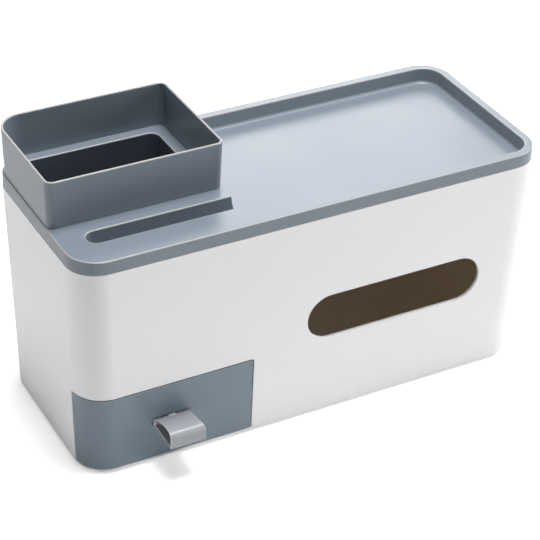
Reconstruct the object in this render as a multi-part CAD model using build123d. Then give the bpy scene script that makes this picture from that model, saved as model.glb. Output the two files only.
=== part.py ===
from build123d import *
import os

# Desk tissue box with a drawer: white tapering housing, lift-off grey lid with a pen cup,
# a phone groove and a tray, and a drawer whose front wraps round the corner.
# X runs along the long side, Y towards the back, Z up from the plane the feet stand on.

# Outside, in millimetres
lid_length = 260.0
lid_width = 108.5
overall_height = 155.0
foot_height = 1.2
rim_top = 129.0
band_height = 7.5
corner = 16.5
reveal = 0.2
base_inset = 2.7
base_round = 1.4
wall = 2.0
floor_top = 3.0
housing_top = rim_top - band_height

# Lid
lid_wall = 1.8
rim_width = 4.65
rim_edge = 0.6
tray_depth = 8.25
tray_left = -36.6
tray_corner = 11.0
tray_slope = 0.9
tray_floor_round = 1.9
groove_back = -26.6
groove_width = 10.7
groove_left = -116.1
cup_left, cup_right = -129.8, -36.4
cup_front, cup_back = -18.4, 51.4
cup_wall_top, cup_wall_foot = 1.3, 1.9
cup_flare = 0.6
cup_corner = 4.2
cup_corner_back_left = 14.0
ledge_top = 131.6
well_left, well_right = -122.8, -45.2
well_front, well_back = -11.6, 42.9
well_floor = 53.4
well_corner = 5.0
well_taper = 1.2
locating_rib_thickness = 1.6
locating_rib_depth = 5.0
lid_fit = 0.35

# Tissue slot in the front
slot_centre_x, slot_centre_z = 45.8, 60.4
slot_length, slot_height = 102.3, 26.1
slot_edge = 0.5

# Drawer, its opening and the bay it runs in
panel_right = -36.2
panel_side_end = -36.8
panel_bottom, panel_top = 3.3, 46.5
panel_gap = 0.6
panel_corner = 1.5
panel_thickness = 2.4
drawer_left, drawer_right = -122.8, -36.2
drawer_back = 49.2
drawer_bottom = 3.9
drawer_wall = 1.8
drawer_side_top = 42.4
drawer_heel_top = 46.7
drawer_heel_front = 40.3
drawer_corner = 4.0
drawer_left_corner = 14.5
drawer_travel = 78.0
pocket_front = -50.0
bay_ceiling = 47.4
bay_wall = 1.8
bay_left_inside = -123.3
bay_divider_left = -35.2
bay_divider_top = 112.0
bay_fit = 0.3
bay_leg_front = -33.0
stop_rib_height = 4.2
stop_rib_length = 6.0
stop_rib_inset = 0.6
runner_height = 0.6
runner_width = 2.4
runner_inset = 14.0
runner_front, runner_back = -48.0, 46.0

# Pull on the drawer front
pull_centre_x = -81.6
pull_width = 20.0
pull_slot_width, pull_slot_bottom, pull_slot_top = 21.0, 23.4, 27.7
pull_neck_bottom, pull_neck_top = 23.5, 27.1
pull_nose_y = -72.3
pull_tip_z = 22.2
pull_nose_z = 30.7
pull_crown_y, pull_crown_z = -62.5, 30.2
pull_belly_y, pull_belly_z = -63.0, 20.6
pull_nose_round = 3.8
pull_tip_round = 1.3
pull_skin = 1.25
pull_waist_radius = 44.0
pull_waist_depth = 1.4
pull_head_width, pull_head_height, pull_head_depth = 25.0, 8.0, 1.4

# Feet
foot_radius = 5.0
foot_x, foot_y = 115.6, 43.1
foot_seat_depth = 0.6
foot_seat_radius = 5.3
foot_places = {
    "front_left": (-foot_x, -foot_y), "front_right": (foot_x, -foot_y),
    "back_left": (-foot_x, foot_y), "back_right": (foot_x, foot_y),
}


def leaning_block(middle, size, z_low, z_high, shrink, corners):
    """Block whose sides lean in towards its foot, its four leaning edges rounded.

    size is the length and width at z_high, shrink what each side has lost at z_low, and corners
    one radius for all edges or four in the order of the corners from -X -Y, with X first.
    """
    (length, width), height = size, z_high - z_low
    hanging = Plane(origin=(*middle, z_high), x_dir=(1, 0, 0), z_dir=(0, 1, 0))
    block = hanging * Wedge(length, height, width, shrink, shrink, length - shrink, width - shrink,
                            align=(Align.CENTER, Align.MIN, Align.CENTER))
    radii = corners if isinstance(corners, tuple) else (corners,) * 4
    for (way_x, way_y), radius in zip(((-1, -1), (1, -1), (-1, 1), (1, 1)), radii):
        leaning = block.edges().group_by(Axis.Z)[1]
        outermost = leaning.sort_by(lambda e: way_x * e.center().X + way_y * e.center().Y)[-1]
        block = fillet(outermost, radius)
    return block


def housing_half_size(z):
    """Half the housing's outside length and width at one height."""
    share = (housing_top - z) / (housing_top - foot_height)
    grow = reveal - (reveal + base_inset) * share
    return lid_length / 2 + grow, lid_width / 2 + grow


def front_face_y(z):
    """Where the housing's leaning front face lies at one height."""
    return -housing_half_size(z)[1]


def housing_body(z_low, z_high, inset=0.0):
    """Solid between two heights that follows the housing's tapering walls."""
    low, high = housing_half_size(z_low), housing_half_size(z_high)
    size = [2 * (half - inset) for half in high]
    return leaning_block((0, 0), size, z_low, z_high, high[0] - low[0], corner + reveal - inset)


def span(x_low, x_high, y_low, y_high, z_low, z_high):
    """Box between two corners."""
    low = (Align.MIN, Align.MIN, Align.MIN)
    return Pos(x_low, y_low, z_low) * Box(x_high - x_low, y_high - y_low, z_high - z_low, align=low)


def rounded_block(x_low, x_high, y_low, y_high, z_low, z_high, corner):
    """Upright block with four equal rounded corners."""
    outline = RectangleRounded(x_high - x_low, y_high - y_low, corner)
    middle = Pos((x_low + x_high) / 2, (y_low + y_high) / 2, z_low)
    return extrude(middle * outline, z_high - z_low)


def upright_disc(x, y, z_low, radius, height):
    """Upright cylinder standing on one height."""
    return Pos(x, y, z_low) * Cylinder(radius, height, align=(Align.CENTER, Align.CENTER, Align.MIN))


def drawer_corner_block(right, side_end, bottom, top):
    """Block over the front left corner with its free corners rounded, for opening and panel alike."""
    block = span(-lid_length, right, -lid_width, side_end, bottom, top)
    upper = block.edges().filter_by_position(Axis.Z, top - 0.01, top + 0.01)
    right_edge = upper.filter_by(Axis.Y).sort_by(Axis.X)[-1]
    rear_edge = upper.filter_by(Axis.X).sort_by(Axis.Y)[-1]
    return fillet([right_edge, rear_edge], panel_corner)


def make_housing():
    shell = housing_body(foot_height, housing_top)
    shell = fillet(shell.edges().group_by(Axis.Z)[0], base_round)
    cavity = housing_body(floor_top, housing_top + 1, wall)
    cavity = fillet(cavity.edges().group_by(Axis.Z)[0], base_round)
    housing = shell - cavity

    opening = drawer_corner_block(
        panel_right + panel_gap, panel_side_end + panel_gap, floor_top, panel_top + panel_gap
    )
    housing -= opening

    # the slot is square to the leaning front wall
    outward = (0, foot_height - housing_top, -(base_inset + reveal))
    front = Plane(origin=(slot_centre_x, front_face_y(slot_centre_z), slot_centre_z),
                  x_dir=(1, 0, 0), z_dir=outward)
    housing -= extrude(front * SlotOverall(slot_length, slot_height), 2 * wall, both=True)
    rims = housing.edges().filter_by(
        lambda e: abs(e.center().X - slot_centre_x) < slot_length / 2 + 1
        and abs(e.center().Z - slot_centre_z) < slot_height / 2 + 1
        and abs(e.center().Y - front_face_y(e.center().Z)) < wall / 2
    )
    housing = chamfer(rims, slot_edge)

    # low runners under the drawer
    for x in (drawer_left + runner_inset, drawer_right - runner_inset):
        housing += span(x - runner_width / 2, x + runner_width / 2, runner_front, runner_back,
                        floor_top - wall / 4, floor_top + runner_height)
    for x, y in foot_places.values():
        housing -= upright_disc(x, y, foot_height, foot_seat_radius, foot_seat_depth)
    return housing


def make_drawer_bay():
    """Inverted channel over the drawer with a tall divider beside the tissue compartment."""
    room = housing_body(floor_top, bay_divider_top, wall + bay_fit)
    room = fillet(room.edges().group_by(Axis.Z)[0], base_round)
    left_leg = span(-lid_length, bay_left_inside, bay_leg_front, lid_width, 0, bay_ceiling + bay_wall)
    roof = span(-lid_length, bay_divider_left + bay_wall, -lid_width, lid_width,
                bay_ceiling, bay_ceiling + bay_wall)
    divider = span(bay_divider_left, bay_divider_left + bay_wall, -lid_width, lid_width,
                   0, bay_divider_top)
    bay = room & (left_leg + roof + divider)

    # ramped ribs under the roof that hold the drawer in
    rib_back = drawer_heel_front - drawer_travel - bay_fit
    rib_foot = bay_ceiling - stop_rib_height
    ramp = Polygon(
        (rib_back, bay_ceiling + 0.5), (rib_back, rib_foot), (rib_back - 1.2, rib_foot),
        (rib_back - stop_rib_height, bay_ceiling), (rib_back - stop_rib_height, bay_ceiling + 0.5),
        align=None,
    )
    for x in (drawer_left + stop_rib_inset, drawer_right - stop_rib_inset - stop_rib_length):
        bay += extrude(Plane.YZ.offset(x) * ramp, stop_rib_length, dir=(1, 0, 0)) & room
    return bay


def tray_solid(grow, z_low, z_high, floor_round):
    """Tray recess, or the block that holds it, with leaning walls and a rounded foot."""
    x_low, x_high = tray_left - grow, lid_length / 2 - rim_width + grow
    size = (x_high - x_low, lid_width - 2 * rim_width + 2 * grow)
    block = leaning_block(((x_low + x_high) / 2, 0), size, z_low, z_high, tray_slope, tray_corner + grow)
    return fillet(block.edges().group_by(Axis.Z)[0], floor_round)


def groove_solid(grow, z_low, z_high):
    """Phone groove, round at its left end and open into the tray."""
    width = groove_width + 2 * grow
    length = tray_left - groove_left + grow + width
    middle_y = groove_back - groove_width / 2
    outline = Pos(groove_left - grow + length / 2, middle_y, z_low) * SlotOverall(length, width)
    trough = extrude(outline, z_high - z_low)
    return trough & span(-lid_length, tray_left + 2, -lid_width, lid_width, z_low, z_high)


def cup_solid(inset, shrink, z_low, z_high):
    """Cup between two heights, flaring a little; its back left corner follows the lid's own."""
    size = (cup_right - cup_left - 2 * inset, cup_back - cup_front - 2 * inset)
    small, large = cup_corner - inset, cup_corner_back_left - inset
    middle = ((cup_left + cup_right) / 2, (cup_front + cup_back) / 2)
    return leaning_block(middle, size, z_low, z_high, shrink, (small, small, large, small))


def well_solid(grow, z_low, z_high):
    """Deep pen well, narrowing slightly towards its floor."""
    size = (well_right - well_left + 2 * grow, well_back - well_front + 2 * grow)
    middle = ((well_left + well_right) / 2, (well_front + well_back) / 2)
    return leaning_block(middle, size, z_low, z_high, well_taper, well_corner + grow)


def make_lid():
    """One moulding: hollow rim, sunk tray, phone groove, pen cup and the well that hangs from it."""
    tray_floor = rim_top - tray_depth
    outline = RectangleRounded(lid_length, lid_width, corner)
    inside = RectangleRounded(lid_length - 2 * lid_wall, lid_width - 2 * lid_wall, corner - lid_wall)
    cap = extrude(Pos(0, 0, housing_top) * outline, band_height)
    cap = chamfer(cap.edges().group_by(Axis.Z)[-1], rim_edge)
    cap -= extrude(Pos(0, 0, housing_top) * inside, band_height - lid_wall)

    lid = cap
    lid += tray_solid(lid_wall, tray_floor - lid_wall, rim_top - 0.5, tray_floor_round + lid_wall)
    lid += groove_solid(lid_wall, tray_floor - lid_wall, rim_top - 0.5)
    lid += well_solid(lid_wall, well_floor - lid_wall, ledge_top - 0.5)
    lid += cup_solid(0, cup_flare, rim_top - lid_wall, overall_height)

    lid -= tray_solid(0, tray_floor, rim_top + 0.01, tray_floor_round)
    lid -= groove_solid(0, tray_floor, rim_top + 1)
    thickening = cup_wall_foot - cup_wall_top
    lid -= cup_solid(cup_wall_top, cup_flare + thickening, ledge_top, overall_height + 0.01)
    lid -= well_solid(0, well_floor, ledge_top + 0.01)
    return lid + locating_ribs()


def locating_ribs():
    """Ribs under the rim that centre the lid inside the housing."""
    outer = wall - reveal + lid_fit
    low, high = housing_top - locating_rib_depth, rim_top - lid_wall + 0.5
    reach = rim_width - 0.4
    half = locating_rib_thickness / 2
    x_edge, y_edge = lid_length / 2, lid_width / 2
    ribs = []
    for x in (-100, -55, -5, 40, 85):
        ribs.append(span(x - half, x + half, y_edge - reach, y_edge - outer, low, high))
        ribs.append(span(x - half, x + half, outer - y_edge, reach - y_edge, low, high))
    for y in (-25, 25):
        ribs.append(span(x_edge - reach, x_edge - outer, y - half, y + half, low, high))
    return ribs


def drawer_block(inset, z_low, z_high):
    """Upright block with the drawer's plan: large corners on the left, inside the housing's own."""
    length = drawer_right - drawer_left - 2 * inset
    front = pocket_front - drawer_wall + inset
    depth = drawer_back - inset - front
    outline = Rectangle(length, depth)
    outline = fillet(outline.vertices().group_by(Axis.X)[-1], drawer_corner - inset)
    outline = fillet(outline.vertices().group_by(Axis.X)[0], drawer_left_corner - inset)
    middle = Pos((drawer_left + drawer_right) / 2, front + depth / 2, z_low)
    return extrude(middle * outline, z_high - z_low)


def make_drawer():
    """Tray with a front panel that wraps round the housing's corner."""
    region = drawer_corner_block(panel_right, panel_side_end, panel_bottom, panel_top)
    outside = housing_body(panel_bottom - 1, panel_top + 1)
    behind_panel = housing_body(panel_bottom - 1, panel_top + 1, panel_thickness)
    panel = (outside - behind_panel) & region

    tray = drawer_block(0, drawer_bottom, drawer_heel_top)
    tray -= span(drawer_left - 1, drawer_right + 1, pocket_front - 3, drawer_heel_front,
                 drawer_side_top, drawer_heel_top + 1)
    # the space between the wrapped panel and the tray is roofed, webbed at its end and open below
    filling = span(-lid_length, drawer_right, -lid_width, panel_side_end, drawer_bottom, drawer_side_top)
    filling &= housing_body(panel_bottom - 1, panel_top + 1, panel_thickness / 2)
    hollow = span(-lid_length, drawer_left + drawer_left_corner, -lid_width,
                  panel_side_end - drawer_wall, 0, drawer_side_top - drawer_wall)
    filling -= (hollow & behind_panel) - tray
    drawer = panel + tray + filling

    pocket = drawer_block(drawer_wall, drawer_bottom + drawer_wall, drawer_heel_top + 1)
    pocket = fillet(pocket.edges().group_by(Axis.Z)[0], drawer_corner - drawer_wall - 0.4)
    drawer -= pocket

    slot = RectangleRounded(pull_slot_width, pull_slot_top - pull_slot_bottom, 0.6)
    place = Pos(pull_centre_x, pocket_front + 1, (pull_slot_bottom + pull_slot_top) / 2) * Rot(90, 0, 0)
    return drawer - extrude(place * slot, 8, dir=(0, -1, 0))


def pull_outline():
    """Side view of the pull's loop: bowed top, blunt nose, sharp lower tip, bowed underside."""
    front = front_face_y(pull_neck_top)
    neck_top, neck_bottom = (front, pull_neck_top), (front, pull_neck_bottom)
    nose, tip = (pull_nose_y, pull_nose_z), (pull_nose_y + 0.4, pull_tip_z)
    with BuildSketch() as sketch:
        with BuildLine():
            ThreePointArc(neck_top, (pull_crown_y, pull_crown_z), nose)
            Line(nose, tip)
            ThreePointArc(tip, (pull_belly_y, pull_belly_z), neck_bottom)
            Line(neck_bottom, neck_top)
        make_face()
        corners = sketch.vertices().sort_by(Axis.X)[:2].sort_by(Axis.Y)
        fillet(corners[1], pull_nose_round)
        corners = sketch.vertices().filter_by(lambda v: v.Y < pull_tip_z + 0.5).sort_by(Axis.X)
        fillet(corners[0], pull_tip_round)
    return sketch.sketch


def make_drawer_pull():
    """Soft loop that passes through the drawer front and is held by a head behind it."""
    side = Plane.YZ.offset(pull_centre_x - pull_width / 2)
    outline = pull_outline()
    loop = extrude(side * outline, pull_width, dir=(1, 0, 0))
    hollow = offset(outline, amount=-pull_skin)
    loop -= extrude(side * hollow, pull_width, dir=(1, 0, 0))

    # ends are hollowed so that the loop is waisted in plan
    for way in (-1, 1):
        reach = pull_width / 2 - pull_waist_depth + pull_waist_radius
        middle_y = (front_face_y(pull_neck_top) + pull_nose_y) / 2
        loop -= Pos(pull_centre_x + way * reach, middle_y, pull_nose_z) * Cylinder(pull_waist_radius, 40)

    half = pull_width / 2
    neck = span(pull_centre_x - half, pull_centre_x + half, front_face_y(pull_neck_top) - 0.4,
                pocket_front + 0.2, pull_neck_bottom, pull_neck_top)
    nub = span(pull_centre_x - 1.6, pull_centre_x + 2.2, front_face_y(pull_neck_top) - 1.0,
               pocket_front - 1, pull_neck_top - 0.5, pull_slot_top - 0.1)
    head = rounded_block(pull_centre_x - pull_head_width / 2, pull_centre_x + pull_head_width / 2,
                         -pull_head_height / 2, pull_head_height / 2, 0, pull_head_depth, 1.5)
    middle_z = (pull_neck_bottom + pull_neck_top) / 2
    head = Pos(0, pocket_front + pull_head_depth, middle_z) * Rot(90, 0, 0) * head
    return loop + neck + nub + head


def make_foot(x, y):
    """Stick-on pad whose upper part sits in a shallow round seat under the housing."""
    return upright_disc(x, y, 0, foot_radius, foot_height + foot_seat_depth)


pieces = {
    "housing": make_housing(),
    "drawer_bay": make_drawer_bay(),
    "lid": make_lid(),
    "drawer": make_drawer(),
    "drawer_pull": make_drawer_pull(),
}
for place_name, (x, y) in foot_places.items():
    pieces[f"foot_{place_name}"] = make_foot(x, y)

os.makedirs("parts", exist_ok=True)
for name, solid in pieces.items():
    export_step(solid, f"parts/{name}.step")
    print(name, round(solid.volume / 1000, 2), "cm3")
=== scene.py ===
import bmesh
import bpy
import math
from mathutils import Matrix, Vector


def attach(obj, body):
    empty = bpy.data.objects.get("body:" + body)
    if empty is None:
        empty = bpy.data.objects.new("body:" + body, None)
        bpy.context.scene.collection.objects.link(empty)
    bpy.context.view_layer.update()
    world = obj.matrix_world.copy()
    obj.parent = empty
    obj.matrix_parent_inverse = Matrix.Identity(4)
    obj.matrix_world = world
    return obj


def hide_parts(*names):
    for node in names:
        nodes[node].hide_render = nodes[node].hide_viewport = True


# Desk tissue box with a drawer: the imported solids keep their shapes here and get
# softened edges and plastic finishes, then a white floor, studio lamps and the camera.

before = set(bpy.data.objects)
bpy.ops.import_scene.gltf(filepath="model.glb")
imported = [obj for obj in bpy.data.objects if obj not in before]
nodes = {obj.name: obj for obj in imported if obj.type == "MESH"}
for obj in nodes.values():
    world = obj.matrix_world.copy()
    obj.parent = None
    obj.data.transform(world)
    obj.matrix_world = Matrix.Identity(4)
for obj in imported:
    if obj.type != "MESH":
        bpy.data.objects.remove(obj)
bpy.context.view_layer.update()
scene = bpy.context.scene
mm = 0.001
print("frame loaded:", ", ".join(sorted(nodes)))


def toLinear(hexColour):
    parts = [int(hexColour[i:i + 2], 16) / 255 for i in (1, 3, 5)]
    return [p / 12.92 if p <= 0.04045 else ((p + 0.055) / 1.055) ** 2.4 for p in parts] + [1.0]


def addNode(tree, kind, settings=None, inputs=None):
    node = tree.nodes.new(kind)
    for name, value in (settings or {}).items():
        setattr(node, name, value)
    for name, value in (inputs or {}).items():
        if isinstance(value, bpy.types.NodeSocket):
            tree.links.new(value, node.inputs[name])
        else:
            node.inputs[name].default_value = value
    return node


def newMaterial(name):
    material = bpy.data.materials.new(name)
    material.use_nodes = True
    tree = material.node_tree
    tree.nodes.clear()
    output = addNode(tree, "ShaderNodeOutputMaterial")
    return material, tree, output


# Moulded plastics: an etched satin face, slick rounded edges with a painted highlight

def grainBump(tree, place, grain, depth, strength):
    # the fine spark-eroded texture of the mould, as a height in metres
    noise = addNode(tree, "ShaderNodeTexNoise", {}, {
        "Vector": place, "Scale": 1 / grain, "Detail": 2.0, "Roughness": 0.5})
    return addNode(tree, "ShaderNodeBump", {}, {
        "Height": noise.outputs["Fac"], "Distance": depth, "Strength": strength})


def paintedCompartmentShadeMask(tree, place, room):
    # 1 on the faces of the tissue compartment, which follow the leaning walls, and 0 elsewhere: where the
    # shade and glow are painted
    apart = addNode(tree, "ShaderNodeSeparateXYZ", {}, {"Vector": place})
    grow = addNode(tree, "ShaderNodeMath", {"operation": "MULTIPLY"}, {
        0: apart.outputs["Z"], 1: room["lean"]})
    widen = addNode(tree, "ShaderNodeCombineXYZ", {}, {"X": grow.outputs[0], "Y": grow.outputs[0]})
    core = addNode(tree, "ShaderNodeVectorMath", {"operation": "ADD"}, {
        0: widen.outputs[0], 1: (room["halfLength"], room["halfWidth"], 1)})
    spread = addNode(tree, "ShaderNodeVectorMath", {"operation": "ABSOLUTE"}, {0: place})
    beyond = addNode(tree, "ShaderNodeVectorMath", {"operation": "SUBTRACT"}, {
        0: spread.outputs[0], 1: core.outputs[0]})
    beyond = addNode(tree, "ShaderNodeVectorMath", {"operation": "MAXIMUM"}, {
        0: beyond.outputs[0], 1: (0, 0, 0)})
    reach = addNode(tree, "ShaderNodeVectorMath", {"operation": "LENGTH"}, {0: beyond.outputs[0]})
    within = addNode(tree, "ShaderNodeMath", {"operation": "LESS_THAN"}, {
        0: reach.outputs["Value"], 1: room["corner"]})
    above = addNode(tree, "ShaderNodeMath", {"operation": "GREATER_THAN"}, {
        0: apart.outputs["Z"], 1: room["floor"]})
    beside = addNode(tree, "ShaderNodeMath", {"operation": "GREATER_THAN"}, {
        0: apart.outputs["X"], 1: room["left"]})
    both = addNode(tree, "ShaderNodeMath", {"operation": "MULTIPLY"}, {
        0: within.outputs[0], 1: above.outputs[0]})
    return addNode(tree, "ShaderNodeMath", {"operation": "MULTIPLY"}, {
        0: both.outputs[0], 1: beside.outputs[0]})


def paintedWellShadeMask(tree, place, well):
    # 1 inside the deep pen well, whose walls are painted darker than the rest of the lid as painted shade,
    # and 0 elsewhere
    centred = addNode(tree, "ShaderNodeVectorMath", {"operation": "SUBTRACT"}, {0: place, 1: well["middle"]})
    spread = addNode(tree, "ShaderNodeVectorMath", {"operation": "ABSOLUTE"}, {0: centred.outputs[0]})
    beyond = addNode(tree, "ShaderNodeVectorMath", {"operation": "SUBTRACT"}, {
        0: spread.outputs[0], 1: well["halfSize"]})
    beyond = addNode(tree, "ShaderNodeVectorMath", {"operation": "MAXIMUM"}, {
        0: beyond.outputs[0], 1: (0, 0, 0)})
    reach = addNode(tree, "ShaderNodeVectorMath", {"operation": "LENGTH"}, {0: beyond.outputs[0]})
    return addNode(tree, "ShaderNodeMath", {"operation": "LESS_THAN"}, {
        0: reach.outputs["Value"], 1: well["within"]})


def mouldedPlastic(name, look):
    material, tree, output = newMaterial(name)
    place = addNode(tree, "ShaderNodeTexCoord").outputs["Object"]
    cloud = addNode(tree, "ShaderNodeTexNoise", {}, {
        "Vector": place, "Scale": 1 / look["cloudSize"], "Detail": 3.0, "Roughness": 0.45})
    colour = addNode(tree, "ShaderNodeMix", {"data_type": "RGBA"}, {
        0: cloud.outputs["Fac"], 6: toLinear(look["colour"]), 7: toLinear(look["colourTwo"])})
    polish = addNode(tree, "ShaderNodeMapRange", {}, {
        "Value": cloud.outputs["Fac"], "From Min": 0.3, "From Max": 0.7,
        "To Min": look["roughLow"], "To Max": look["roughHigh"]})
    # rounded edges aren't etched: they are slicker than the faces, and their lighter colour is a painted
    # highlight
    rounded = addNode(tree, "ShaderNodeAttribute", {"attribute_name": "rounded"})
    colour = addNode(tree, "ShaderNodeMix", {"data_type": "RGBA"}, {
        0: rounded.outputs["Fac"], 6: colour.outputs[2], 7: toLinear(look["edgeHighlightColour"])})
    polish = addNode(tree, "ShaderNodeMix", {"data_type": "FLOAT"}, {
        0: rounded.outputs["Fac"], 2: polish.outputs["Result"], 3: look["edgeRough"]})
    glow = None
    # painted shade and a painted glow: the compartment's faces get a darker warm colour and a warm emission
    if "room" in look:
        paintedShadeMask = paintedCompartmentShadeMask(tree, place, look["room"])
        colour = addNode(tree, "ShaderNodeMix", {"data_type": "RGBA"}, {
            0: paintedShadeMask.outputs[0], 6: colour.outputs[2], 7: toLinear(look["room"]["colour"])})
        glow = addNode(tree, "ShaderNodeMix", {"data_type": "RGBA"}, {
            0: paintedShadeMask.outputs[0], 6: (0, 0, 0, 1), 7: toLinear(look["room"]["glow"])})
    bump = grainBump(tree, place, look["grain"], look["grainDepth"], look["grainStrength"])
    # painted shade: the deep pen well's walls get a darker grey
    if "well" in look:
        wellShade = paintedWellShadeMask(tree, place, look["well"])
        colour = addNode(tree, "ShaderNodeMix", {"data_type": "RGBA"}, {
            0: wellShade.outputs[0], 6: colour.outputs[2], 7: toLinear(look["well"]["colour"])})
    shader = addNode(tree, "ShaderNodeBsdfPrincipled", {}, {
        "Base Color": colour.outputs[2], "Roughness": polish.outputs[0],
        "Normal": bump.outputs["Normal"], "IOR": look["ior"]})
    if glow:
        tree.links.new(glow.outputs[2], shader.inputs["Emission Color"])
        shader.inputs["Emission Strength"].default_value = 1.0
    tree.links.new(shader.outputs["BSDF"], output.inputs["Surface"])
    return material


# the compartment behind the slot: nearly white but painted a little darker and warmer, a painted shade, with
# a dim warm emission, a painted glow, where no lamp is;
# its plan at height 0 is the body's, given by its half sizes less the corner, and it grows as the walls lean
paintedShadeRoomLook = {
    "colour": "#dad7d0", "glow": "#2a2117",
    "halfLength": (127.3 - 16.7) * mm, "halfWidth": (51.55 - 16.7) * mm,
    "lean": 2.9 / 120.3, "corner": (16.7 - 1.75) * mm, "floor": 2.2 * mm, "left": -34.3 * mm,
}
# each look's edge colour is a painted highlight on its rounded edges, lighter than the face except on the
# foam pad
# ABS, injection moulded in a lightly etched mould: a soft satin with no clear reflections
whiteLook = {
    "colour": "#f1f1f2", "colourTwo": "#eeeff1", "cloudSize": 70 * mm,
    "roughLow": 0.38, "roughHigh": 0.44, "ior": 1.53,
    "grain": 0.5 * mm, "grainDepth": 0.012 * mm, "grainStrength": 0.5,  # drawn coarser than the real 0.1 mm
    "edgeHighlightColour": "#f6f6f6", "edgeRough": 0.25, "room": paintedShadeRoomLook,
}
greyLook = {
    "colour": "#7b858f", "colourTwo": "#79838e", "cloudSize": 60 * mm,
    "roughLow": 0.30, "roughHigh": 0.36, "ior": 1.53,
    "grain": 0.5 * mm, "grainDepth": 0.012 * mm, "grainStrength": 0.5,
    "edgeHighlightColour": "#a8a8a8", "edgeRough": 0.22,
    # the well's darker grey is painted shade
    "well": {"colour": "#5c656f", "middle": (-84.0 * mm, 15.65 * mm, 91.9 * mm),
             "halfSize": (39.3 * mm, 27.7 * mm, 38.9 * mm), "within": 0.01 * mm},
}
drawerLook = {
    "colour": "#76848f", "colourTwo": "#74828e", "cloudSize": 40 * mm,
    "roughLow": 0.30, "roughHigh": 0.36, "ior": 1.53,
    "grain": 0.5 * mm, "grainDepth": 0.012 * mm, "grainStrength": 0.5,
    "edgeHighlightColour": "#9aa2aa", "edgeRough": 0.22,
}
# thermoplastic rubber, moulded in a polished mould: slick but not clear
pullLook = {
    "colour": "#9ea0a5", "colourTwo": "#9a9ca2", "cloudSize": 8 * mm,
    "roughLow": 0.22, "roughHigh": 0.28, "ior": 1.50,
    "grain": 0.4 * mm, "grainDepth": 0.010 * mm, "grainStrength": 0.4,
    "edgeHighlightColour": "#d2d3d4", "edgeRough": 0.18,
}
# EVA foam pad, die cut: dull and slightly pitted
padLook = {
    "colour": "#d2d3d4", "colourTwo": "#c8c9cb", "cloudSize": 3 * mm,
    "roughLow": 0.75, "roughHigh": 0.9, "ior": 1.45,
    "grain": 0.35 * mm, "grainDepth": 0.04 * mm, "grainStrength": 0.8,
    "edgeHighlightColour": "#d2d3d4", "edgeRough": 0.8,
}

whiteAbs = mouldedPlastic("moulded_white_abs", whiteLook)
greyAbs = mouldedPlastic("moulded_grey_abs", greyLook)
drawerAbs = mouldedPlastic("moulded_slate_abs", drawerLook)
pullRubber = mouldedPlastic("moulded_grey_tpr", pullLook)
padFoam = mouldedPlastic("die_cut_eva_foam", padLook)
print("materials made")


solidLook = {
    "mergeWithin": 0.002 * mm,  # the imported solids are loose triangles
    "flatWithin": math.radians(0.3),
    "cornerOver": math.radians(50),  # chamfers are flatter than this and stay chamfers
    "steps": 3, "slantFrom": 0.3, "slantTo": 0.9,
}

nodeLooks = {
    "housing": {
        "piece": "housing_shell", "body": "base", "slot": "white_plastic", "material": whiteAbs,
        "edge": 0.25 * mm,
        "keepBelow": 3.05 * mm,  # the floor's thin lip under the drawer stays crisp
        "chamfers": [((-6.5 * mm, -56 * mm, 46 * mm), (98 * mm, -52 * mm, 75 * mm))],
    },
    "drawer_bay": {
        "piece": "drawer_bay_channel", "body": "base", "slot": "white_plastic", "material": whiteAbs,
        "edge": 0.3 * mm,
    },
    "lid": {
        "piece": "lid_moulding", "body": "lid", "slot": "grey_plastic", "material": greyAbs,
        "edge": 0.6 * mm,
        "keepInside": ((-40.0 * mm, -41.0 * mm, 118.0 * mm), (-32.0 * mm, -23.0 * mm, 122.5 * mm)),
        "chamfers": [((-131 * mm, -55 * mm, 128.3 * mm), (131 * mm, 55 * mm, 129.1 * mm))],
    },
    "drawer": {
        "piece": "drawer_moulding", "body": "drawer", "slot": "drawer_plastic", "material": drawerAbs,
        "edge": 0.25 * mm,
    },
    "drawer_pull": {
        "piece": "pull_loop", "body": "drawer", "slot": "soft_pull", "material": pullRubber,
        "edge": 0.3 * mm,
    },
}


def isInside(point, low, high):
    return all(a <= p <= b for a, p, b in zip(low, point, high))


def isSlanted(normal):
    # a chamfer's faces lean halfway between the solid's upright and level ones
    parts = sorted(abs(part) for part in normal)
    return parts[1] > solidLook["slantFrom"] and parts[2] < solidLook["slantTo"]


def softenEdges(shape, look):
    # outer corners sharper than a chamfer get a small round, inner corners stay as moulded
    corners = []
    for edge in shape.edges:
        middle = (edge.verts[0].co + edge.verts[1].co) / 2
        if middle.z < look.get("keepBelow", -1) or not edge.is_convex:
            continue
        if "keepInside" in look and isInside(middle, *look["keepInside"]):
            continue
        if edge.calc_face_angle(0) > solidLook["cornerOver"]:
            corners.append(edge)
    # the round's faces are marked, and the material paints a highlight on them
    rounded = shape.faces.layers.float.new("rounded")
    made = bmesh.ops.bevel(shape, geom=corners, offset=look["edge"], offset_type="OFFSET",
                           segments=solidLook["steps"], profile=0.5, affect="EDGES", material=-1,
                           loop_slide=True, miter_outer="ARC")
    for face in made["faces"]:
        face[rounded] = 1.0
    # the chamfers' faces are marked too and get the same painted highlight
    for low, high in look.get("chamfers", []):
        for face in shape.faces:
            if isInside(face.calc_center_median(), low, high) and isSlanted(face.normal):
                face[rounded] = 1.0


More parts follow.
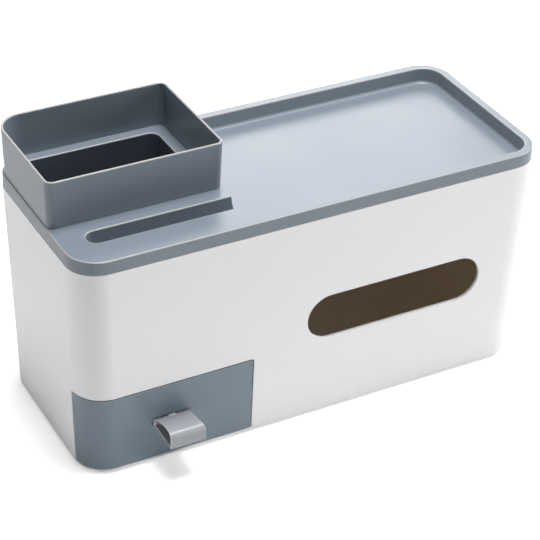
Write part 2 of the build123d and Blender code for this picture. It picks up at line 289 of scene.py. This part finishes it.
def makeMoulding(nodeName, look):
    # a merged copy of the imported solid, its flat triangles joined, then its corners rounded
    shape = bmesh.new()
    shape.from_mesh(nodes[nodeName].data)
    bmesh.ops.remove_doubles(shape, verts=shape.verts, dist=solidLook["mergeWithin"])
    bmesh.ops.dissolve_limit(shape, angle_limit=solidLook["flatWithin"], verts=shape.verts, edges=shape.edges)
    softenEdges(shape, look)
    for face in shape.faces:
        face.smooth = True
        face.material_index = 0
    for edge in shape.edges:
        edge.smooth = edge.calc_face_angle(0) < solidLook["cornerOver"]
    mesh = bpy.data.meshes.new(look["piece"])
    shape.to_mesh(mesh)
    shape.free()
    if "custom_normal" in mesh.attributes:
        mesh.attributes.remove(mesh.attributes["custom_normal"])
    mesh.materials.clear()
    mesh.materials.append(look["material"])
    piece = bpy.data.objects.new(look["piece"], mesh)
    scene.collection.objects.link(piece)
    shading = piece.modifiers.new("shading", "WEIGHTED_NORMAL")
    shading.keep_sharp = True
    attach(piece, look["body"])
    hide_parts(nodeName)


for nodeName, look in nodeLooks.items():
    makeMoulding(nodeName, look)
print("mouldings softened")

footLook = {
    "nodes": ["foot_front_left", "foot_front_right", "foot_back_left", "foot_back_right"],
    "edge": 0.1 * mm, "steps": 2,
}

for nodeName in footLook["nodes"]:
    foot = nodes[nodeName]
    foot.data.materials.clear()
    foot.data.materials.append(padFoam)
    weld = foot.modifiers.new("weld", "WELD")
    weld.merge_threshold = solidLook["mergeWithin"]
    soften = foot.modifiers.new("soften", "BEVEL")
    soften.width = footLook["edge"]
    soften.segments = footLook["steps"]
    soften.limit_method = "ANGLE"
    soften.angle_limit = solidLook["cornerOver"]
    shading = foot.modifiers.new("shading", "WEIGHTED_NORMAL")
    shading.keep_sharp = False
print("feet finished")


# A white sweep, softboxes and the camera

# the camera sees the sweep a little brighter than it is, so that it is white round the object's shadow
floorLook = {"width": 12, "seen": "#fbfbfb", "bounce": "#f4f4f4", "glow": 0.45}


def makeFloor():
    bpy.ops.mesh.primitive_plane_add(size=floorLook["width"])
    floor = bpy.context.object
    floor.name = "floor"
    material, tree, output = newMaterial("white_paper_sweep")
    path = addNode(tree, "ShaderNodeLightPath")
    paper = addNode(tree, "ShaderNodeMix", {"data_type": "RGBA"}, {
        0: path.outputs["Is Camera Ray"], 6: toLinear(floorLook["bounce"]), 7: toLinear(floorLook["seen"])})
    lit = addNode(tree, "ShaderNodeBsdfDiffuse", {}, {"Color": paper.outputs[2]})
    level = addNode(tree, "ShaderNodeMath", {"operation": "MULTIPLY"}, {
        0: path.outputs["Is Camera Ray"], 1: floorLook["glow"]})
    glow = addNode(tree, "ShaderNodeEmission", {}, {"Strength": level.outputs[0]})
    both = addNode(tree, "ShaderNodeAddShader", {}, {0: lit.outputs[0], 1: glow.outputs[0]})
    tree.links.new(both.outputs[0], output.inputs["Surface"])
    floor.data.materials.append(material)


worldLook = {"seen": 1.0, "ambient": 0.0, "colour": "#ffffff"}


def makeWorld():
    world = bpy.data.worlds.new("studio")
    scene.world = world
    world.use_nodes = True
    tree = world.node_tree
    tree.nodes.clear()
    path = addNode(tree, "ShaderNodeLightPath")
    seen = addNode(tree, "ShaderNodeMath", {"operation": "MAXIMUM"}, {
        0: path.outputs["Is Camera Ray"], 1: path.outputs["Is Glossy Ray"]})
    seen = addNode(tree, "ShaderNodeMath", {"operation": "MAXIMUM"}, {
        0: seen.outputs[0], 1: path.outputs["Is Transmission Ray"]})
    strength = addNode(tree, "ShaderNodeMapRange", {}, {
        "Value": seen.outputs[0], "To Min": worldLook["ambient"], "To Max": worldLook["seen"]})
    background = addNode(tree, "ShaderNodeBackground", {}, {
        "Color": toLinear(worldLook["colour"]), "Strength": strength.outputs["Result"]})
    addNode(tree, "ShaderNodeOutputWorld", {}, {"Surface": background.outputs["Background"]})


lamps = {
    "overheadSoftbox": {"place": (0.15, -0.1, 2.0), "aim": (0, 0, 0.07), "size": 0.8, "power": 42},
    "topRightSoftbox": {"place": (0.8, 0.1, 1.85), "aim": (0, 0, 0.07), "size": 0.8, "power": 6},
    "lowBackSoftbox": {"place": (0.85, 1.55, 1.15), "aim": (0, 0, 0.07), "size": 0.8, "power": 9},
    "rightSoftbox": {"place": (1.3, -1.65, 0.7), "aim": (0, 0, 0.07), "size": 1.2, "power": 3},
    "endSoftbox": {"place": (1.9, -0.9, 0.6), "aim": (0, 0, 0.07), "size": 1.2, "power": 17},
    "leftSoftbox": {"place": (-1.75, 1.0, 0.8), "aim": (0, 0, 0.07), "size": 1.2, "power": 8},
}


def makeLamps():
    for name, look in lamps.items():
        data = bpy.data.lights.new(name, "AREA")
        data.shape = "SQUARE"
        data.size = look["size"]
        data.energy = look["power"]
        lamp = bpy.data.objects.new(name, data)
        scene.collection.objects.link(lamp)
        lamp.location = look["place"]
        way = Vector(look["aim"]) - Vector(look["place"])
        lamp.rotation_euler = way.to_track_quat("-Z", "Y").to_euler()


cameraLook = {
    "place": (-409.714 * mm, -742.189 * mm, 621.944 * mm),
    "right": (0.88347771, -0.46765337, 0.02770307),
    "up": (0.23848026, 0.49985399, 0.83263026),
    "focalPixels": 1931.265, "imagePixels": 540, "sensor": 36.0, "near": 0.05, "far": 50,
}


def makeCamera():
    data = bpy.data.cameras.new("camera")
    data.sensor_width = cameraLook["sensor"]
    data.lens = cameraLook["focalPixels"] * cameraLook["sensor"] / cameraLook["imagePixels"]
    data.clip_start, data.clip_end = cameraLook["near"], cameraLook["far"]
    camera = bpy.data.objects.new("camera", data)
    scene.collection.objects.link(camera)
    right, up = Vector(cameraLook["right"]), Vector(cameraLook["up"])
    turn = Matrix((right, up, right.cross(up))).transposed().to_4x4()
    camera.matrix_world = Matrix.Translation(cameraLook["place"]) @ turn
    scene.camera = camera


makeFloor()
makeWorld()
makeLamps()
makeCamera()
scene.view_settings.view_transform = "Standard"
print("floor, light and camera made")
